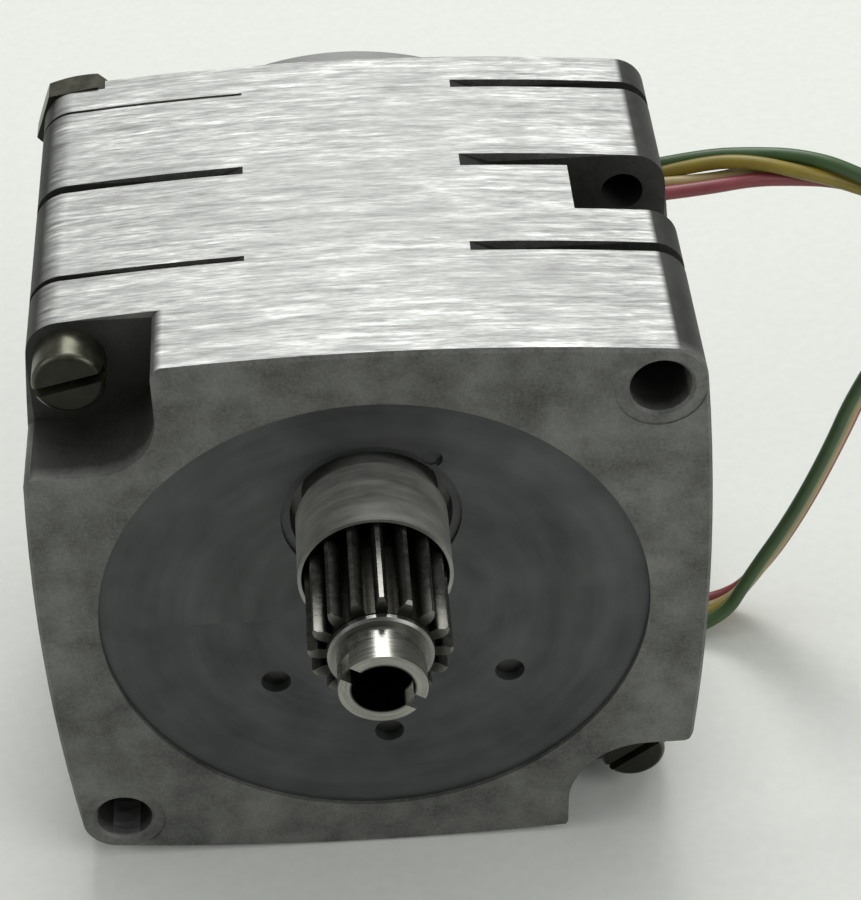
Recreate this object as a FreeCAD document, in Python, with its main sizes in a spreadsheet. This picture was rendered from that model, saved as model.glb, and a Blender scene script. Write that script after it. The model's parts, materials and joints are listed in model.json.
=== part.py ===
# Geared stepper motor, 57 mm square frame, with an offset output pinion on a slotted hollow shaft.
# Millimetres. Frame: +Z up, the shafts run along Y, the output leaves toward -Y.
# Origin: centre of the front mounting face, on the rotor axis.
import FreeCAD, Part
import Sketcher
import math
import os

V = FreeCAD.Vector
os.makedirs("parts", exist_ok=True)
doc = FreeCAD.newDocument("geared_stepper_motor")

# ---------------------------------------------------------------- driving dimensions
sheet = doc.addObject("Spreadsheet::Sheet", "Dims")
SIZES = [
    # outside of the four aluminium layers
    ("corner_half", 27.05), ("side_radius", 236.8), ("corner_radius", 3.2), ("edge_break", 0.3),
    ("bell_len", 14.0), ("ring_one_len", 12.95), ("ring_two_len", 11.4), ("rear_len", 4.95),
    ("land_radius", 29.9), ("outer_reach", 45.0),
    # corner gaps at the three joints: how far each neighbouring face steps back, on the left and on the right
    ("gap_bell_left", 0.6), ("gap_bell_right", 0.7), ("gap_one_front_left", 0.1), ("gap_one_front_right", 0.55),
    ("gap_one_rear_left", 1.0), ("gap_one_rear_right", 1.35), ("gap_two_front_left", 0.08), ("gap_two_front_right", 0.45),
    ("gap_two_rear_left", 0.12), ("gap_two_rear_right", 0.4), ("gap_rear_left", 0.25), ("gap_rear_right", 0.8),
    ("hole_offset", 23.57), ("mount_hole_radius", 2.55), ("mount_hole_break", 0.25), ("spot_radius", 3.78), ("spot_depth", 0.12),
    ("tie_hole_radius", 1.85), ("tap_radius", 1.55), ("nut_seat_radius", 4.6), ("nut_sink", 1.6), ("tie_shift", 0.25),
    # screw notches at two front corners
    ("notch_x", 16.9), ("notch_z", 17.45), ("notch_fillet_a", 5.5), ("notch_fillet_b", 7.0), ("notch_depth", 7.8), ("notch_mouth", 1.0),
    # lead window in the first ring
    ("window_x", 18.5), ("window_z", 17.2), ("window_start", 5.2), ("window_round", 0.8),
    # bores
    ("stator_bore", 24.4), ("disc_radius", 23.5), ("disc_sink", 0.4), ("disc_thick", 3.0),
    ("gear_room_radius", 22.4), ("gear_plate_radius", 23.9), ("gear_plate_thick", 3.2),
    ("rear_room_radius", 22.0), ("rear_boss_radius", 26.5), ("rear_boss_len", 4.5), ("rear_wall", 2.5),
    ("rear_hub_radius", 8.0), ("rear_hub_len", 4.2), ("rear_cap_radius", 9.5), ("rear_cap_thick", 1.2),
    # output axis
    ("output_lift", 11.25), ("collar_hole_radius", 6.75), ("collar_step_radius", 7.5), ("collar_step_depth", 0.35),
    ("collar_radius", 6.3), ("collar_inner", 6.0), ("collar_shoulder", 0.1), ("collar_neck", 5.7), ("collar_step", 0.9),
    ("stake_radius", 0.9), ("stake_x", 5.1), ("stake_z", 17.1), ("stake_depth", 0.5),
    ("collar_reach", 7.0), ("collar_flange_radius", 9.2), ("collar_flange", 1.0), ("collar_seat", 5.2),
    ("tube_radius", 3.5), ("journal_radius", 3.3), ("tube_bore", 2.45), ("tube_tip", 19.5), ("tube_tail", 13.4),
    ("slot_width", 1.35), ("slot_depth", 1.62), ("slot_angle", -33.0),
    ("bush_clearance", 0.03), ("bush_wall_radius", 5.2), ("bush_len", 5.0),
    ("pinion_teeth", 16), ("pinion_module", 0.635), ("pinion_front", 15.5), ("pinion_back", -1.2), ("pinion_turn", 87.5),
    ("ring_radius", 4.2), ("ring_len", 0.6), ("ring_break", 0.2),
    ("wheel_teeth", 33), ("drive_teeth", 12), ("gear_module", 0.5), ("gear_backlash", 0.12),
    ("wheel_start", 5.2), ("wheel_width", 3.2), ("wheel_hub_radius", 5.4), ("wheel_hub_len", 1.3),
    ("drive_start", 4.9), ("drive_width", 4.0),
    # small holes in the front disc and their pillars
    ("pillar_hole_radius", 1.3), ("pillar_radius", 2.2),
    ("pillar_one_x", -8.9), ("pillar_one_z", -7.4), ("pillar_two_x", 11.5), ("pillar_two_z", -7.6),
    ("pillar_three_x", 0.8), ("pillar_three_z", -14.35),
    # rotor
    ("rotor_shaft_radius", 1.5875), ("rotor_shaft_start", 4.6), ("rotor_shaft_end", 46.0),
    ("magnet_radius", 12.3), ("magnet_bore", 8.2), ("magnet_start", 15.2), ("magnet_end", 36.6),
    ("rotor_bush_radius", 3.2), ("rotor_bush_len", 4.0), ("rear_bush_radius", 4.2), ("rear_bush_len", 4.6),
    ("washer_radius", 3.0), ("washer_thick", 0.4),
    # stator, one phase per ring
    ("phase_len", 12.05), ("plate_thick", 1.2), ("claw_inner", 12.9), ("claw_outer", 14.0), ("claw_len", 9.0),
    ("claw_count", 12), ("claw_width", 11.5), ("sleeve_inner", 23.1), ("stack_radius", 24.3),
    ("bobbin_inner", 14.2), ("bobbin_core", 15.2), ("bobbin_flange", 22.9), ("bobbin_wall", 0.9), ("coil_radius", 22.0),
    # screws
    ("head_radius", 3.0), ("head_height", 3.45), ("head_round", 0.55), ("head_slot", 0.85), ("head_slot_depth", 1.3),
    ("shank_radius", 1.55), ("tie_shank", 37.2), ("nut_radius", 4.5), ("nut_thick", 2.7), ("nut_turn", 70.4),
    # lead wires
    ("lead_diameter", 1.3), ("lead_pitch", 1.5), ("grommet_half_y", 3.6), ("grommet_half_z", 1.2),
    ("grommet_mid_y", 33.6), ("grommet_mid_z", 20.3), ("grommet_in", 21.0), ("grommet_out", 27.6), ("floor_level", -28.6),
]
for row, (alias, value) in enumerate(SIZES, start=1):
    sheet.set("A%d" % row, alias)
    sheet.set("B%d" % row, str(value))
    sheet.setAlias("B%d" % row, alias)
doc.recompute()


def val(alias):
    return float(sheet.get(alias))


# ---------------------------------------------------------------- helpers
def new_body(label, y=0.0, x=0.0, z=0.0):
    body = doc.addObject("PartDesign::Body", label)
    body.Label = label
    body.Placement = FreeCAD.Placement(V(x, y, z), FreeCAD.Rotation())
    doc.recompute()
    return body


def plane(body, role):
    for feature in body.Origin.OriginFeatures:
        if feature.Role == role:
            return feature
    raise ValueError(role)


def sketch_at(body, name, depth="0"):
    """Sketch facing -Y, lying 'depth' behind the body's own XZ plane."""
    sk = body.newObject("Sketcher::SketchObject", name)
    sk.AttachmentSupport = [(plane(body, "XZ_Plane"), "")]
    sk.MapMode = "FlatFace"
    sk.setExpression("AttachmentOffset.Base.z", "-(%s)" % depth)
    return sk


def circle(sk, radius, cx="0", cz="0"):
    g = sk.addGeometry(Part.Circle(V(1.0, 1.0, 0), V(0, 0, 1), 5.0), False)
    c = sk.addConstraint(Sketcher.Constraint("Radius", g, 5.0))
    sk.setExpression("Constraints[%d]" % c, radius)
    for kind, expr in (("DistanceX", cx), ("DistanceY", cz)):
        if expr == "0":
            if kind == "DistanceX":
                sk.addConstraint(Sketcher.Constraint("PointOnObject", g, 3, -2))
            else:
                sk.addConstraint(Sketcher.Constraint("PointOnObject", g, 3, -1))
        else:
            c = sk.addConstraint(Sketcher.Constraint(kind, -1, 1, g, 3, 1.0))
            sk.setExpression("Constraints[%d]" % c, expr)
    return g


def pad(body, sk, length, name, forward=False):
    p = body.newObject("PartDesign::Pad", name)
    p.Profile = sk
    p.Reversed = not forward
    p.setExpression("Length", length)
    doc.recompute()
    return p


def pocket(body, sk, length, name, through=False):
    before = body.Shape.Volume
    p = body.newObject("PartDesign::Pocket", name)
    p.Profile = sk
    if through:
        p.Type = 1
    else:
        p.setExpression("Length", length)
    p.Reversed = False
    doc.recompute()
    if not body.Shape.Volume < before - 1e-4:
        raise RuntimeError("pocket cut nothing: " + name)
    return p


def outline(body, name, depth="0"):
    """Square outline with slightly bowed sides."""
    sk = sketch_at(body, name, depth)
    half, radius = val("corner_half"), val("side_radius")
    corners = [V(-half, -half, 0), V(half, -half, 0), V(half, half, 0), V(-half, half, 0)]
    bow = radius - math.sqrt(radius * radius - half * half)
    for i in range(4):
        a, b = corners[i], corners[(i + 1) % 4]
        mid = (a + b) * 0.5
        mid = mid + mid * (bow / mid.Length)
        sk.addGeometry(Part.ArcOfCircle(a, mid, b), False)
    for i in range(4):
        sk.addConstraint(Sketcher.Constraint("Coincident", i, 2, (i + 1) % 4, 1))
    for i, (sx, sz) in enumerate(((-1, -1), (1, -1), (1, 1), (-1, 1))):
        for kind, sign in (("DistanceX", sx), ("DistanceY", sz)):
            c = sk.addConstraint(Sketcher.Constraint(kind, -1, 1, i, 1, sign * half))
            sk.setExpression("Constraints[%d]" % c, ("" if sign > 0 else "-") + "Dims.corner_half")
    for i in range(4):
        c = sk.addConstraint(Sketcher.Constraint("Radius", i, radius))
        sk.setExpression("Constraints[%d]" % c, "Dims.side_radius")
    return sk


def y_edges(shape, where):
    """Names of straight edges along Y whose (x, z) passes the test."""
    names = []
    for i, e in enumerate(shape.Edges, start=1):
        if len(e.Vertexes) == 2:
            a, b = e.Vertexes[0].Point, e.Vertexes[1].Point
            if abs(a.x - b.x) < 1e-4 and abs(a.z - b.z) < 1e-4 and abs(a.y - b.y) > 0.5 and where(a.x, a.z):
                names.append("Edge%d" % i)
    return names


def flat_edges(shape, y):
    names = []
    for i, e in enumerate(shape.Edges, start=1):
        box = e.BoundBox
        if abs(box.YMin - y) < 1e-4 and abs(box.YMax - y) < 1e-4:
            names.append("Edge%d" % i)
    return names


def layer(label, y, length):
    """One aluminium layer: bowed square, rounded corners, broken edges."""
    body = new_body(label, y)
    pad(body, outline(body, label + "_outline"), length, label + "_pad")
    blank = body.Tip
    edges = y_edges(blank.Shape, lambda x, z: abs(x) > 26 and abs(z) > 26)
    rnd = body.newObject("PartDesign::Fillet", label + "_corners")
    rnd.Base = (blank, edges)
    rnd.setExpression("Radius", "Dims.corner_radius")
    doc.recompute()
    return body


def broken(body, ys, name, size="Dims.edge_break"):
    base = body.Tip
    edges = []
    for y in ys:
        edges += flat_edges(base.Shape, y)
    ch = body.newObject("PartDesign::Chamfer", name)
    ch.Base = (base, edges)
    ch.setExpression("Size", size)
    doc.recompute()
    return ch


def corner_gap(body, depth, left, right, name, forward=True):
    """Steps the layer's face back outside the round land it bears on, each side by its own amount."""
    for word, sign, step in (("left", -1, left), ("right", 1, right)):
        sk = sketch_at(body, "%s_%s_sketch" % (name, word), depth if forward else "%s - %s" % (depth, step))
        r, far = val("land_radius"), val("outer_reach")
        p = [V(0, r, 0), V(0, far, 0), V(sign * far, far, 0), V(sign * far, -far, 0), V(0, -far, 0), V(0, -r, 0)]
        for a, b in zip(p, p[1:]):
            sk.addGeometry(Part.LineSegment(a, b), False)
        arc = sk.addGeometry(Part.ArcOfCircle(p[5], V(sign * r, 0, 0), p[0]), False)
        for k in range(4):
            sk.addConstraint(Sketcher.Constraint("Coincident", k, 2, k + 1, 1))
        e0, e5 = ((1, 2) if sk.getPoint(arc, 1).sub(p[0]).Length < 1e-3 else (2, 1))
        sk.addConstraint(Sketcher.Constraint("Coincident", 0, 1, arc, e0))
        sk.addConstraint(Sketcher.Constraint("Coincident", 4, 2, arc, e5))
        sk.addConstraint(Sketcher.Constraint("Coincident", arc, 3, -1, 1))
        for g in (0, 2, 4):
            sk.addConstraint(Sketcher.Constraint("Vertical", g))
        for g in (1, 3):
            sk.addConstraint(Sketcher.Constraint("Horizontal", g))
        sk.addConstraint(Sketcher.Constraint("PointOnObject", 0, 1, -2))
        c = sk.addConstraint(Sketcher.Constraint("Radius", arc, r))
        sk.setExpression("Constraints[%d]" % c, "Dims.land_radius")
        for kind, g, pos, value in (("DistanceX", 2, 1, sign * far), ("DistanceY", 1, 1, far), ("DistanceY", 3, 1, -far)):
            c = sk.addConstraint(Sketcher.Constraint(kind, -1, 1, g, pos, value))
            sk.setExpression("Constraints[%d]" % c, "Dims.outer_reach" if value > 0 else "-Dims.outer_reach")
        pocket(body, sk, step, "%s_%s" % (name, word))


def hole(body, name, radius, cx, cz, depth="0", length=None):
    sk = sketch_at(body, name + "_sketch", depth)
    circle(sk, radius, cx, cz)
    return pocket(body, sk, length or "1", name, through=length is None)


def revolved(label, points, y=0.0, x=0.0, z=0.0):
    """Solid of revolution about the body's Y axis, from (radius, y) expressions."""
    body = new_body(label, y, x, z)
    sk = body.newObject("Sketcher::SketchObject", label + "_profile")
    sk.AttachmentSupport = [(plane(body, "XY_Plane"), "")]
    sk.MapMode = "FlatFace"
    nums = []
    for r, a in points:
        nums.append(V(number(r), number(a), 0))
    n = len(points)
    for i in range(n):
        sk.addGeometry(Part.LineSegment(nums[i], nums[(i + 1) % n]), False)
    for i in range(n):
        sk.addConstraint(Sketcher.Constraint("Coincident", i, 2, (i + 1) % n, 1))
    for i, (r, a) in enumerate(points):
        for kind, expr, num in (("DistanceX", r, nums[i].x), ("DistanceY", a, nums[i].y)):
            if abs(num) < 1e-9:
                sk.addConstraint(Sketcher.Constraint("PointOnObject", i, 1, -2 if kind == "DistanceX" else -1))
            else:
                c = sk.addConstraint(Sketcher.Constraint(kind, -1, 1, i, 1, num))
                sk.setExpression("Constraints[%d]" % c, expr)
    rev = body.newObject("PartDesign::Revolution", label + "_turned")
    rev.Profile = sk
    rev.ReferenceAxis = (sk, ["V_Axis"])
    rev.Angle = 360.0
    doc.recompute()
    return body


def number(expr):
    """Value of a simple expression over the sheet's aliases."""
    tokens = expr.replace("(", " ( ").replace(")", " ) ").replace("+", " + ").replace("-", " - ").replace("*", " * ").split()
    total, sign, scale = 0.0, 1.0, 1.0
    pending = None
    for t in tokens:
        if t == "+" or t == "-":
            if pending is not None:
                total += sign * pending
                pending = None
                sign = 1.0
            if t == "-":
                sign = -sign
        elif t == "*":
            scale = pending
            pending = None
        else:
            v = val(t[5:]) if t.startswith("Dims.") else float(t)
            pending = v * scale
            scale = 1.0
    if pending is not None:
        total += sign * pending
    return total


def feature(label, shape, x=0.0, y=0.0, z=0.0):
    f = doc.addObject("Part::Feature", label)
    f.Label = label
    f.Shape = shape
    f.Placement = FreeCAD.Placement(V(x, y, z), FreeCAD.Rotation())
    return f


D = "Dims."
nodes = {}
BELL, ONE, TWO, REAR = val("bell_len"), val("ring_one_len"), val("ring_two_len"), val("rear_len")
Y1, Y2, Y3, Y4 = BELL, BELL + ONE, BELL + ONE + TWO, BELL + ONE + TWO + REAR

# ---------------------------------------------------------------- front bell
bell = layer("front_bell", 0.0, D + "bell_len")
broken(bell, [0.0], "front_bell_edge")
corner_gap(bell, "Dims.bell_len", "Dims.gap_bell_left", "Dims.gap_bell_right", "front_bell_gap", forward=False)
hole(bell, "front_bell_disc_seat", D + "disc_radius", "0", "0", "0", "Dims.disc_sink + Dims.disc_thick")
hole(bell, "front_bell_gear_room", D + "gear_room_radius", "0", "0")
hole(bell, "front_bell_plate_seat", D + "gear_plate_radius", "0", "0", "Dims.bell_len - Dims.gear_plate_thick", D + "gear_plate_thick")
for tag, sx, sz in (("a", -1, 1), ("b", 1, -1)):
    sk = sketch_at(bell, "front_bell_notch_%s_sketch" % tag)
    nx, nz, nf, far = val("notch_x"), val("notch_z"), val("notch_fillet_%s" % tag), val("outer_reach")
    p = [V(sx * nx, sz * far, 0), V(sx * nx, sz * (nz + nf), 0), V(sx * (nx + nf), sz * nz, 0), V(sx * far, sz * nz, 0), V(sx * far, sz * far, 0)]
    c45 = math.sqrt(0.5)
    mid = V(sx * (nx + nf - nf * c45), sz * (nz + nf - nf * c45), 0)
    sk.addGeometry(Part.LineSegment(p[0], p[1]), False)
    arc = sk.addGeometry(Part.ArcOfCircle(p[1], mid, p[2]), False)
    sk.addGeometry(Part.LineSegment(p[2], p[3]), False)
    sk.addGeometry(Part.LineSegment(p[3], p[4]), False)
    sk.addGeometry(Part.LineSegment(p[4], p[0]), False)
    flip = sk.getPoint(arc, 1).sub(p[1]).Length > 1e-3
    a1, a2 = (2, 1) if flip else (1, 2)
    sk.addConstraint(Sketcher.Constraint("Tangent", 0, 2, 1, a1))
    sk.addConstraint(Sketcher.Constraint("Tangent", 1, a2, 2, 1))
    sk.addConstraint(Sketcher.Constraint("Coincident", 2, 2, 3, 1))
    sk.addConstraint(Sketcher.Constraint("Coincident", 3, 2, 4, 1))
    sk.addConstraint(Sketcher.Constraint("Coincident", 4, 2, 0, 1))
    for g in (0, 3):
        sk.addConstraint(Sketcher.Constraint("Vertical", g))
    for g in (2, 4):
        sk.addConstraint(Sketcher.Constraint("Horizontal", g))
    for kind, ref, sign, expr in (("DistanceX", (0, 1), sx, "Dims.notch_x"), ("DistanceY", (2, 1), sz, "Dims.notch_z"),
                                  ("DistanceX", (3, 1), sx, "Dims.outer_reach"), ("DistanceY", (3, 2), sz, "Dims.outer_reach")):
        c = sk.addConstraint(Sketcher.Constraint(kind, -1, 1, ref[0], ref[1], sign * number(expr)))
        sk.setExpression("Constraints[%d]" % c, ("" if sign > 0 else "-") + expr)
    c = sk.addConstraint(Sketcher.Constraint("Radius", 1, nf))
    sk.setExpression("Constraints[%d]" % c, "Dims.notch_fillet_%s" % tag)
    pocket(bell, sk, D + "notch_depth", "front_bell_notch_%s" % tag)
    hole(bell, "front_bell_tie_%s" % tag, D + "tie_hole_radius", ("-" if sx < 0 else "") + "Dims.hole_offset", ("-" if sz < 0 else "") + "Dims.hole_offset")
names = y_edges(bell.Shape, lambda x, z: (abs(abs(x) - val("notch_x")) < 0.05 and abs(z) > 27) or (abs(abs(z) - val("notch_z")) < 0.05 and abs(x) > 27))
if names:
    base = bell.Tip
    mouth = bell.newObject("PartDesign::Fillet", "front_bell_notch_mouth")
    mouth.Base = (base, names)
    mouth.setExpression("Radius", D + "notch_mouth")
    doc.recompute()
for tag, sx, sz in (("c", 1, 1), ("d", -1, -1)):
    cx, cz = ("-" if sx < 0 else "") + "Dims.hole_offset", ("-" if sz < 0 else "") + "Dims.hole_offset"
    hole(bell, "front_bell_mount_%s" % tag, D + "mount_hole_radius", cx, cz)
    hole(bell, "front_bell_spot_%s" % tag, D + "spot_radius", cx, cz, "0", D + "spot_depth")
base = bell.Tip
mouths = ["Edge%d" % (i + 1) for i, e in enumerate(base.Shape.Edges)
          if hasattr(e.Curve, "Radius") and abs(e.Curve.Radius - val("mount_hole_radius")) < 0.01 and abs(e.Curve.Center.y - val("spot_depth")) < 0.02
          and abs(abs(e.Curve.Center.x) - val("hole_offset")) < 0.05]
ch = bell.newObject("PartDesign::Chamfer", "front_bell_mount_break")
ch.Base = (base, mouths)
ch.setExpression("Size", D + "mount_hole_break")
doc.recompute()
nodes["front_bell"] = bell

# ---------------------------------------------------------------- ring with the lead window
one = layer("stator_ring_front", Y1, D + "ring_one_len")
hole(one, "ring_one_bore", D + "stator_bore", "0", "0")
corner_gap(one, "0", "Dims.gap_one_front_left", "Dims.gap_one_front_right", "ring_one_gap_front")
corner_gap(one, "Dims.ring_one_len", "Dims.gap_one_rear_left", "Dims.gap_one_rear_right", "ring_one_gap_rear", forward=False)
sk = sketch_at(one, "ring_one_window_sketch", D + "window_start")
far = val("outer_reach")
wx, wz = val("window_x"), val("window_z")
p = [V(wx, wz, 0), V(far, wz, 0), V(far, far, 0), V(wx, far, 0)]
for i in range(4):
    sk.addGeometry(Part.LineSegment(p[i], p[(i + 1) % 4]), False)
for i in range(4):
    sk.addConstraint(Sketcher.Constraint("Coincident", i, 2, (i + 1) % 4, 1))
for g in (0, 2):
    sk.addConstraint(Sketcher.Constraint("Horizontal", g))
for g in (1, 3):
    sk.addConstraint(Sketcher.Constraint("Vertical", g))
for kind, g, pos, expr in (("DistanceX", 0, 1, "Dims.window_x"), ("DistanceY", 0, 1, "Dims.window_z"), ("DistanceX", 2, 1, "Dims.outer_reach"), ("DistanceY", 2, 1, "Dims.outer_reach")):
    c = sk.addConstraint(Sketcher.Constraint(kind, -1, 1, g, pos, number(expr)))
    sk.setExpression("Constraints[%d]" % c, expr)
pocket(one, sk, "Dims.ring_one_len", "ring_one_window")
for tag, sx, sz in (("a", -1, 1), ("b", 1, -1), ("c", 1, 1), ("d", -1, -1)):
    cx, cz = ("-" if sx < 0 else "") + "Dims.hole_offset", ("-" if sz < 0 else "") + "Dims.hole_offset"
    hole(one, "ring_one_tie_%s" % tag, D + ("tie_hole_radius" if tag in "ab" else "tap_radius"), cx, cz)
nodes["stator_ring_front"] = one

# ---------------------------------------------------------------- second ring, with the lead slot in its right side
two = layer("stator_ring_rear", Y2, D + "ring_two_len")
hole(two, "ring_two_bore", D + "stator_bore", "0", "0")
corner_gap(two, "0", "Dims.gap_two_front_left", "Dims.gap_two_front_right", "ring_two_gap_front")
corner_gap(two, "Dims.ring_two_len", "Dims.gap_two_rear_left", "Dims.gap_two_rear_right", "ring_two_gap_rear", forward=False)
for tag, sx, sz in (("a", -1, 1), ("b", 1, -1), ("c", 1, 1), ("d", -1, -1)):
    cx, cz = ("-" if sx < 0 else "") + "Dims.hole_offset", ("-" if sz < 0 else "") + "Dims.hole_offset"
    hole(two, "ring_two_tie_%s" % tag, D + "tie_hole_radius", cx, cz)
slot = two.newObject("Sketcher::SketchObject", "ring_two_slot_sketch")
slot.AttachmentSupport = [(plane(two, "XZ_Plane"), "")]
slot.MapMode = "FlatFace"
slot.setExpression("AttachmentOffset.Base.z", "-(Dims.grommet_mid_y - Dims.grommet_half_y - Dims.bell_len - Dims.ring_one_len)")
gx, gz = 12.0, val("grommet_mid_z") - val("grommet_half_z")
p = [V(gx, gz, 0), V(40, gz, 0), V(40, gz + 2 * val("grommet_half_z"), 0), V(gx, gz + 2 * val("grommet_half_z"), 0)]
for i in range(4):
    slot.addGeometry(Part.LineSegment(p[i], p[(i + 1) % 4]), False)
for i in range(4):
    slot.addConstraint(Sketcher.Constraint("Coincident", i, 2, (i + 1) % 4, 1))
for g in (0, 2):
    slot.addConstraint(Sketcher.Constraint("Horizontal", g))
for g in (1, 3):
    slot.addConstraint(Sketcher.Constraint("Vertical", g))
for kind, g, pos, expr, num in (("DistanceX", 0, 1, "12", 12.0), ("DistanceY", 0, 1, "Dims.grommet_mid_z - Dims.grommet_half_z", gz),
                                ("DistanceX", 2, 1, "Dims.outer_reach", far), ("DistanceY", 2, 1, "Dims.grommet_mid_z + Dims.grommet_half_z", gz + 2 * val("grommet_half_z"))):
    c = slot.addConstraint(Sketcher.Constraint(kind, -1, 1, g, pos, num))
    slot.setExpression("Constraints[%d]" % c, expr)
pocket(two, slot, "2 * Dims.grommet_half_y", "ring_two_slot")
nodes["stator_ring_rear"] = two

# ---------------------------------------------------------------- rear bell
rear = layer("rear_bell", Y3, D + "rear_len")
broken(rear, [REAR], "rear_bell_edge")
sk = sketch_at(rear, "rear_bell_boss_sketch", D + "rear_len")
circle(sk, D + "rear_boss_radius")
pad(rear, sk, D + "rear_boss_len", "rear_bell_boss")
corner_gap(rear, "0", "Dims.gap_rear_left", "Dims.gap_rear_right", "rear_bell_gap")
sk = sketch_at(rear, "rear_bell_room_sketch", "0")
circle(sk, D + "rear_room_radius")
pocket(rear, sk, "Dims.rear_len + Dims.rear_boss_len - Dims.rear_wall", "rear_bell_room")
sk = sketch_at(rear, "rear_bell_hub_sketch", "Dims.rear_len + Dims.rear_boss_len - Dims.rear_wall - Dims.rear_hub_len")
circle(sk, D + "rear_hub_radius")
pad(rear, sk, D + "rear_hub_len", "rear_bell_hub")
hole(rear, "rear_bell_bush_seat", D + "rear_bush_radius", "0", "0")
hole(rear, "rear_bell_cap_seat", D + "rear_cap_radius", "0", "0", "Dims.rear_len + Dims.rear_boss_len - Dims.rear_cap_thick", D + "rear_cap_thick")
for tag, sx, sz in (("a", -1, 1), ("b", 1, -1)):
    cx, cz = ("-" if sx < 0 else "") + "Dims.hole_offset", ("-" if sz < 0 else "") + "Dims.hole_offset"
    hole(rear, "rear_bell_tie_%s" % tag, D + "tie_hole_radius", cx, cz)
    cx = "-(Dims.hole_offset + Dims.tie_shift)" if sx < 0 else "Dims.hole_offset - Dims.tie_shift"
    hole(rear, "rear_bell_sink_%s" % tag, D + "nut_seat_radius", cx, cz, "Dims.rear_len - Dims.nut_sink", "Dims.nut_sink")
nodes["rear_bell"] = rear
nodes["rear_cap"] = revolved("rear_cap", [("0", "0"), ("Dims.rear_cap_radius", "0"), ("Dims.rear_cap_radius", "Dims.rear_cap_thick"), ("0", "Dims.rear_cap_thick")],
                             Y4 + val("rear_boss_len") - val("rear_cap_thick"))

# ---------------------------------------------------------------- front disc
disc = new_body("front_disc", val("disc_sink"))
sk = sketch_at(disc, "front_disc_sketch")
circle(sk, D + "disc_radius")
pad(disc, sk, D + "disc_thick", "front_disc_pad")
hole(disc, "front_disc_collar_hole", D + "collar_hole_radius", "0", D + "output_lift")
hole(disc, "front_disc_collar_step", D + "collar_step_radius", "0", D + "output_lift", "0", D + "collar_step_depth")
hole(disc, "front_disc_stake", D + "stake_radius", D + "stake_x", D + "stake_z", "0", D + "stake_depth")
for i, word in enumerate(("one", "two", "three")):
    hole(disc, "front_disc_small_%s" % word, D + "pillar_hole_radius", "Dims.pillar_%s_x" % word, "Dims.pillar_%s_z" % word)
nodes["front_disc"] = disc

# pillars that space the gear plate from the front disc, threaded ends in the small holes
gap = BELL - val("gear_plate_thick") - val("disc_sink") - val("disc_thick")
fused = None
for word in ("one", "two", "three"):
    cyl = doc.addObject("Part::Cylinder", "pillar_" + word)
    cyl.setExpression("Radius", D + "pillar_radius")
    cyl.setExpression("Height", "Dims.bell_len - Dims.gear_plate_thick - Dims.disc_sink - Dims.disc_thick")
    cyl.Placement = FreeCAD.Placement(V(val("pillar_%s_x" % word), val("disc_sink") + val("disc_thick"), val("pillar_%s_z" % word)), FreeCAD.Rotation(V(1, 0, 0), -90))
    pin = doc.addObject("Part::Cylinder", "pillar_pin_" + word)
    pin.setExpression("Radius", "Dims.pillar_hole_radius - 0.02")
    pin.Height = 2.0
    pin.Placement = FreeCAD.Placement(V(val("pillar_%s_x" % word), val("disc_sink") + val("disc_thick") - 2.0, val("pillar_%s_z" % word)), FreeCAD.Rotation(V(1, 0, 0), -90))
    fuse = doc.addObject("Part::Fuse", "pillar_whole_" + word)
    fuse.Base, fuse.Tool = cyl, pin
    fused = (fused or []) + [fuse]
pillars = doc.addObject("Part::Compound", "gear_pillars")
pillars.Label = "gear_pillars"
pillars.Links = fused
nodes["gear_pillars"] = pillars

# ---------------------------------------------------------------- gear plate with the two rear bush seats
plate = new_body("gear_plate", BELL - val("gear_plate_thick"))
sk = sketch_at(plate, "gear_plate_sketch")
circle(sk, D + "gear_plate_radius")
pad(plate, sk, D + "gear_plate_thick", "gear_plate_pad")
hole(plate, "gear_plate_rotor_seat", D + "rotor_bush_radius", "0", "0")
hole(plate, "gear_plate_output_seat", D + "bush_wall_radius", "0", D + "output_lift")
nodes["gear_plate"] = plate

# ---------------------------------------------------------------- output collar, bushes, shaft, gears
LIFT = val("output_lift")
back = val("disc_sink") + val("disc_thick")
nodes["output_collar"] = revolved("output_collar", [
    ("Dims.collar_inner", "-Dims.collar_reach"), ("Dims.collar_radius", "-Dims.collar_reach"),
    ("Dims.collar_radius", "-Dims.collar_shoulder"), ("Dims.collar_neck", "-Dims.collar_shoulder"),
    ("Dims.collar_neck", "Dims.disc_sink + Dims.disc_thick"), ("Dims.collar_flange_radius", "Dims.disc_sink + Dims.disc_thick"),
    ("Dims.collar_flange_radius", "Dims.disc_sink + Dims.disc_thick + Dims.collar_flange"),
    ("Dims.collar_seat", "Dims.disc_sink + Dims.disc_thick + Dims.collar_flange"),
    ("Dims.collar_seat", "-Dims.collar_step"), ("Dims.collar_inner", "-Dims.collar_step")], 0.0, 0.0, LIFT)
nodes["output_front_bush"] = revolved("output_front_bush", [
    ("Dims.journal_radius + Dims.bush_clearance", "0"), ("Dims.bush_wall_radius", "0"), ("Dims.bush_wall_radius", "Dims.bush_len"),
    ("Dims.journal_radius + Dims.bush_clearance", "Dims.bush_len")], back + val("collar_flange") - val("bush_len"), 0.0, LIFT)
nodes["output_rear_bush"] = revolved("output_rear_bush", [
    ("Dims.journal_radius + Dims.bush_clearance", "0"), ("Dims.bush_wall_radius", "0"), ("Dims.bush_wall_radius", "Dims.gear_plate_thick"),
    ("Dims.journal_radius + Dims.bush_clearance", "Dims.gear_plate_thick")], BELL - val("gear_plate_thick"), 0.0, LIFT)

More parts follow.
